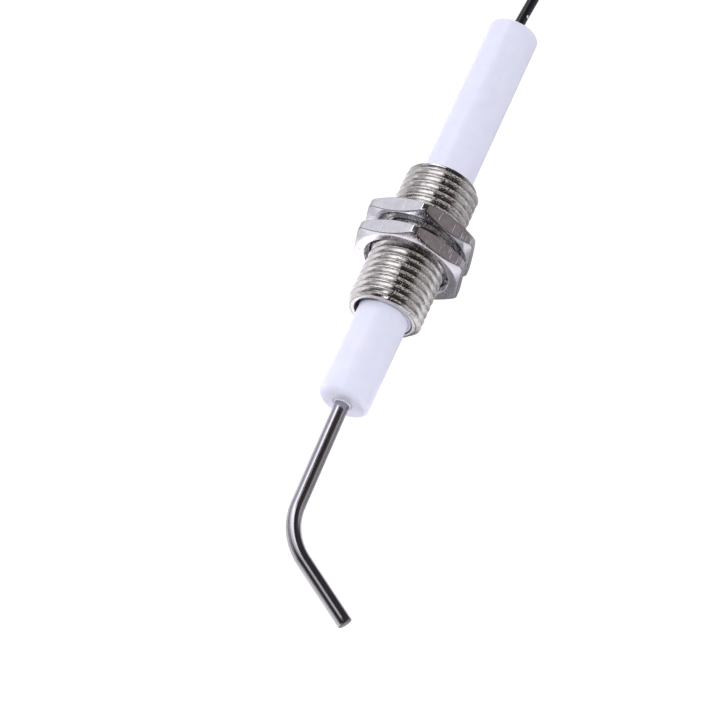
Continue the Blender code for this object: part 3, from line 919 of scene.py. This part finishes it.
def tinned(name, dark, light):
    """Dull tin plate over a softer metal, with streaks along the strip or strand."""
    made, tree, shader = new_material(name)
    place = millimetres(tree)
    patches = noise_at(tree, place, 1.1, 4.0)
    streaks = noise_at(tree, millimetres(tree, (2.5, 0.4, 2.5)), 4.0, 3.0)
    colour = ramp(tree, patches, [(0.3, dark), (0.7, light)])
    rough = level(tree, streaks, 0.3, 0.7, 0.20, 0.36)
    normal = bump(tree, streaks, 0.006 * MM, 0.6)
    wire_up(tree, shader, Base_Color=colour, Roughness=rough, Metallic=1.0, Normal=normal)
    return made


# ---------------------------------------------------------------- studio


def make_floor():
    """A table under the part, plain white to the camera and plain pale to matte surfaces.

    Mirror reflections see painted light and shade: a bright strip under the part, wider in front of it, a
    painted shadow of the part on its +X side, darker tones to both sides and a painted dark end far in front.
    """
    made = bpy.data.materials.new("studio_floor")
    made.use_nodes = True
    tree = made.node_tree
    shader = tree.nodes["Principled BSDF"]
    axis = add_node(tree, "SeparateXYZ", {"Vector": add_node(tree, "TexCoord").outputs["Object"]})
    x, y = axis.outputs["X"], axis.outputs["Y"]
    share = level(tree, x, -0.1, 0.1, 0.0, 1.0)

    def across(*stops):
        """A ramp through (millimetres along X, brightness) stops."""
        return ramp(tree, share, [(0.5 + at / 200.0, (tone, 0.98 * tone, 1.02 * tone)) for at, tone in stops])

    # painted light and shade on the table, for reflections only: a bright strip under the part and a painted
    # shadow of the part from 6.5 mm on its +X side
    beside = across(
        (-100, 0.29), (-50, 0.33), (-27, 0.44), (-16, 0.60), (-11, 1.0),
        (3, 1.0), (6.5, 0.26), (14, 0.33), (27, 0.37), (50, 0.32), (100, 0.27),
    )
    in_front = across(
        (-100, 0.29), (-42, 0.42), (-35, 0.76), (10, 0.84),
        (27, 0.68), (36, 0.46), (50, 0.36), (100, 0.27),
    )
    reflected = mixed(tree, level(tree, y, -0.024, -0.032, 0.0, 1.0), beside, in_front)
    # painted shade: a dark patch on the table far in front of the part
    aside = add_node(tree, "Math", {0: x}, operation="ABSOLUTE").outputs["Value"]
    past = level(tree, aside, TABLE_SHADE_HALF_WIDTH, TABLE_SHADE_HALF_WIDTH + 0.02, 0.0, 0.15)
    depth = add_node(tree, "Math", {0: y, 1: past}, operation="SUBTRACT").outputs["Value"]
    shade = product(
        tree, level(tree, depth, -TABLE_SHADE_START, -TABLE_SHADE_START - 0.01, 0.0, 1.0),
        level(tree, aside, 0.075, 0.090, 1.0, 0.0),
    )
    reflected = mixed(tree, shade, reflected, (0.05, 0.040, 0.036, 1.0))
    light = add_node(tree, "LightPath")
    colour = mixed(tree, light.outputs["Is Diffuse Ray"], reflected, (0.90, 0.90, 0.95, 1.0))
    # the table also glows faintly in these tones
    wire_up(
        tree, shader, Base_Color=colour, Roughness=0.9, Specular_IOR_Level=0.0,
        Emission_Color=colour, Emission_Strength=0.32,
    )
    white = add_node(tree, "Emission", {"Color": (1.0, 1.0, 1.0, 1.0), "Strength": 1.05})
    inputs = {0: light.outputs["Is Camera Ray"], 1: shader.outputs["BSDF"], 2: white.outputs["Emission"]}
    both = add_node(tree, "MixShader", inputs)
    tree.links.new(both.outputs["Shader"], tree.nodes["Material Output"].inputs["Surface"])
    shape = bmesh.new()
    bmesh.ops.create_circle(shape, cap_ends=True, radius=3.0, segments=96)
    mesh = bpy.data.meshes.new("floor")
    shape.to_mesh(mesh)
    shape.free()
    mesh.materials.append(made)
    floor = bpy.data.objects.new("floor", mesh)
    floor.location = (0.0, 0.0, FLOOR_HEIGHT)
    bpy.context.scene.collection.objects.link(floor)


def make_world():
    """A soft studio: a long white light on the left, a dim wall on the right, and a dark gap between them.

    The camera sees only plain white. The tones are for reflections and for the light on the part.
    """
    world = bpy.data.worlds.new("studio")
    bpy.context.scene.world = world
    world.use_nodes = True
    tree = world.node_tree
    direction = add_node(tree, "TexCoord").outputs["Generated"]
    axis = add_node(tree, "SeparateXYZ", {"Vector": direction})
    across = add_node(
        tree, "Math", {0: axis.outputs["X"], 1: axis.outputs["Z"]}, operation="ARCTAN2",
    ).outputs["Value"]
    share = level(tree, across, -math.pi, math.pi, 0.0, 1.0)

    def around(*stops):
        """A ramp through (degrees right of overhead, brightness or colour) stops."""
        entries = []
        for degrees, tone in stops:
            colour = (tone, tone, 1.05 * tone) if isinstance(tone, float) else tone
            entries.append((0.5 + degrees / 360.0, colour))
        return ramp(tree, share, entries)

    x, y = axis.outputs["X"], axis.outputs["Y"]
    dark, brown, dim = (0.045, 0.036, 0.034), (0.070, 0.055, 0.050), (0.20, 0.17, 0.17)
    cool, window = (0.055, 0.050, 0.070), (3.0, 3.0, 3.1)
    overhead = around(
        (-100, 0.6), (-71, 0.76), (-60, 1.5), (-50, 2.2), (-39, 2.2), (-35, dark), (5, dark),
        (15, brown), (40, brown), (44, dim), (49, dim), (52, 0.52), (100, 0.62),
    )
    forward = around(
        (-100, 0.6), (-71, 0.76), (-60, 1.5), (-50, 2.1), (-18, 2.1), (-12, dark),
        (15, brown), (40, brown), (44, dim), (49, dim), (52, 0.52), (100, 0.62),
    )
    front = around((-100, 0.6), (-82, 0.55), (-70, dark), (58, dark), (68, 0.5), (100, 0.6))
    rear = around((-100, 0.6), (-50, 0.9), (-18, 0.9), (-8, cool), (84, cool), (100, 0.4))
    colours = mixed(tree, level(tree, y, 0.6, 0.75, 0.0, 1.0), overhead, rear)
    colours = mixed(tree, level(tree, y, 0.40, 0.33, 0.0, 1.0), colours, forward)
    colours = mixed(tree, level(tree, y, 0.22, -0.45, 0.0, 1.0), colours, front)
    # a dark patch straight in front, and a small window above it to the left
    shade = product(
        tree, between(tree, x, FRONT_SHADE_X - 0.15, FRONT_SHADE_X + 0.15, 0.13),
        level(tree, y, -0.8, -0.93, 0.0, 1.0),
    )
    colours = mixed(tree, shade, colours, (*dark, 1.0))
    pane = product(tree, between(tree, x, -0.24, -0.16, 0.02), between(tree, y, -0.90, -0.84, 0.02))
    pane = product(tree, pane, level(tree, axis.outputs["Z"], 0.0, 0.05, 0.0, 1.0))
    colours = mixed(tree, pane, colours, (*window, 1.0))
    seen = add_node(tree, "LightPath").outputs["Is Camera Ray"]
    colours = mixed(tree, seen, colours, (1.05, 1.05, 1.05, 1.0))
    background = tree.nodes["Background"]
    tree.links.new(colours, background.inputs["Color"])
    background.inputs["Strength"].default_value = 1.0


def make_light(name, place, energy):
    """A large soft light that brightens the matte surfaces and leaves no reflection of itself."""
    data = bpy.data.lights.new(name, "AREA")
    data.shape = "DISK"
    data.size = 0.5
    data.energy = energy
    light = bpy.data.objects.new(name, data)
    light.location = place
    light.rotation_euler = (-Vector(place)).to_track_quat("-Z", "Y").to_euler()
    light.visible_glossy = False
    light.visible_camera = False
    bpy.context.scene.collection.objects.link(light)


def make_camera():
    """A long lens, looking down on the part from the spark tip's side and rolled to the left."""
    target = Vector((-0.37, -33.42, 0.0)) * MM
    elevation, roll, distance = math.radians(63.5), math.radians(24.9), 0.5
    view = Vector((0.0, -math.cos(elevation), math.sin(elevation)))
    level_up = Vector((0.0, math.sin(elevation), math.cos(elevation)))
    right = math.cos(roll) * Vector((1.0, 0.0, 0.0)) + math.sin(roll) * level_up
    data = bpy.data.cameras.new("camera")
    data.lens = 167.0
    data.sensor_width = 36.0
    data.clip_start = 0.02
    data.clip_end = 20.0
    camera = bpy.data.objects.new("camera", data)
    up = view.cross(right)
    camera.matrix_world = Matrix((right, up, view)).transposed().to_4x4()
    camera.location = target + distance * view
    bpy.context.scene.collection.objects.link(camera)
    bpy.context.scene.camera = camera


def main():
    # edges is the share of painted shade on the bevelled edges: none on the sleeve, most of it on the nuts
    sleeve_nickel = nickel_plate(
        "nickel_plate_sleeve", (0.68, 0.66, 0.64), (0.82, 0.80, 0.78), edges=0.0, grain_height=0.024 * MM,
    )
    nut_nickel = nickel_plate(
        "nickel_plate_nuts", (0.77, 0.76, 0.80), (0.85, 0.84, 0.88), edges=0.9, grain_height=0.014 * MM,
    )
    steel, ceramic = rod_steel(), glazed_ceramic()
    silicone, pale_cement = black_silicone(), cement()
    tin = tinned("tinned_brass", (0.62, 0.60, 0.55), (0.74, 0.72, 0.67))
    copper = tinned("tinned_copper", (0.62, 0.52, 0.44), (0.74, 0.66, 0.60))

    make_ceramic(ceramic)
    make_sleeve(sleeve_nickel)
    make_nut("front_lock_nut_fine", "front_lock_nut", "front_nut", nut_nickel)
    make_nut("rear_lock_nut_fine", "rear_lock_nut", "rear_nut", nut_nickel)
    make_rod(steel)
    make_fillings(pale_cement)
    make_ferrule(tin)
    make_strands(copper)
    make_lead(silicone)
    make_terminal(tin)
    make_crimp_sleeve(silicone)

    make_floor()
    make_world()
    make_light("key", (-0.33, -0.17, 0.60), 2.65)
    make_light("fill", (0.55, -0.15, 0.3), 2.1)
    make_camera()
    bpy.context.scene.view_settings.view_transform = "Standard"


main()
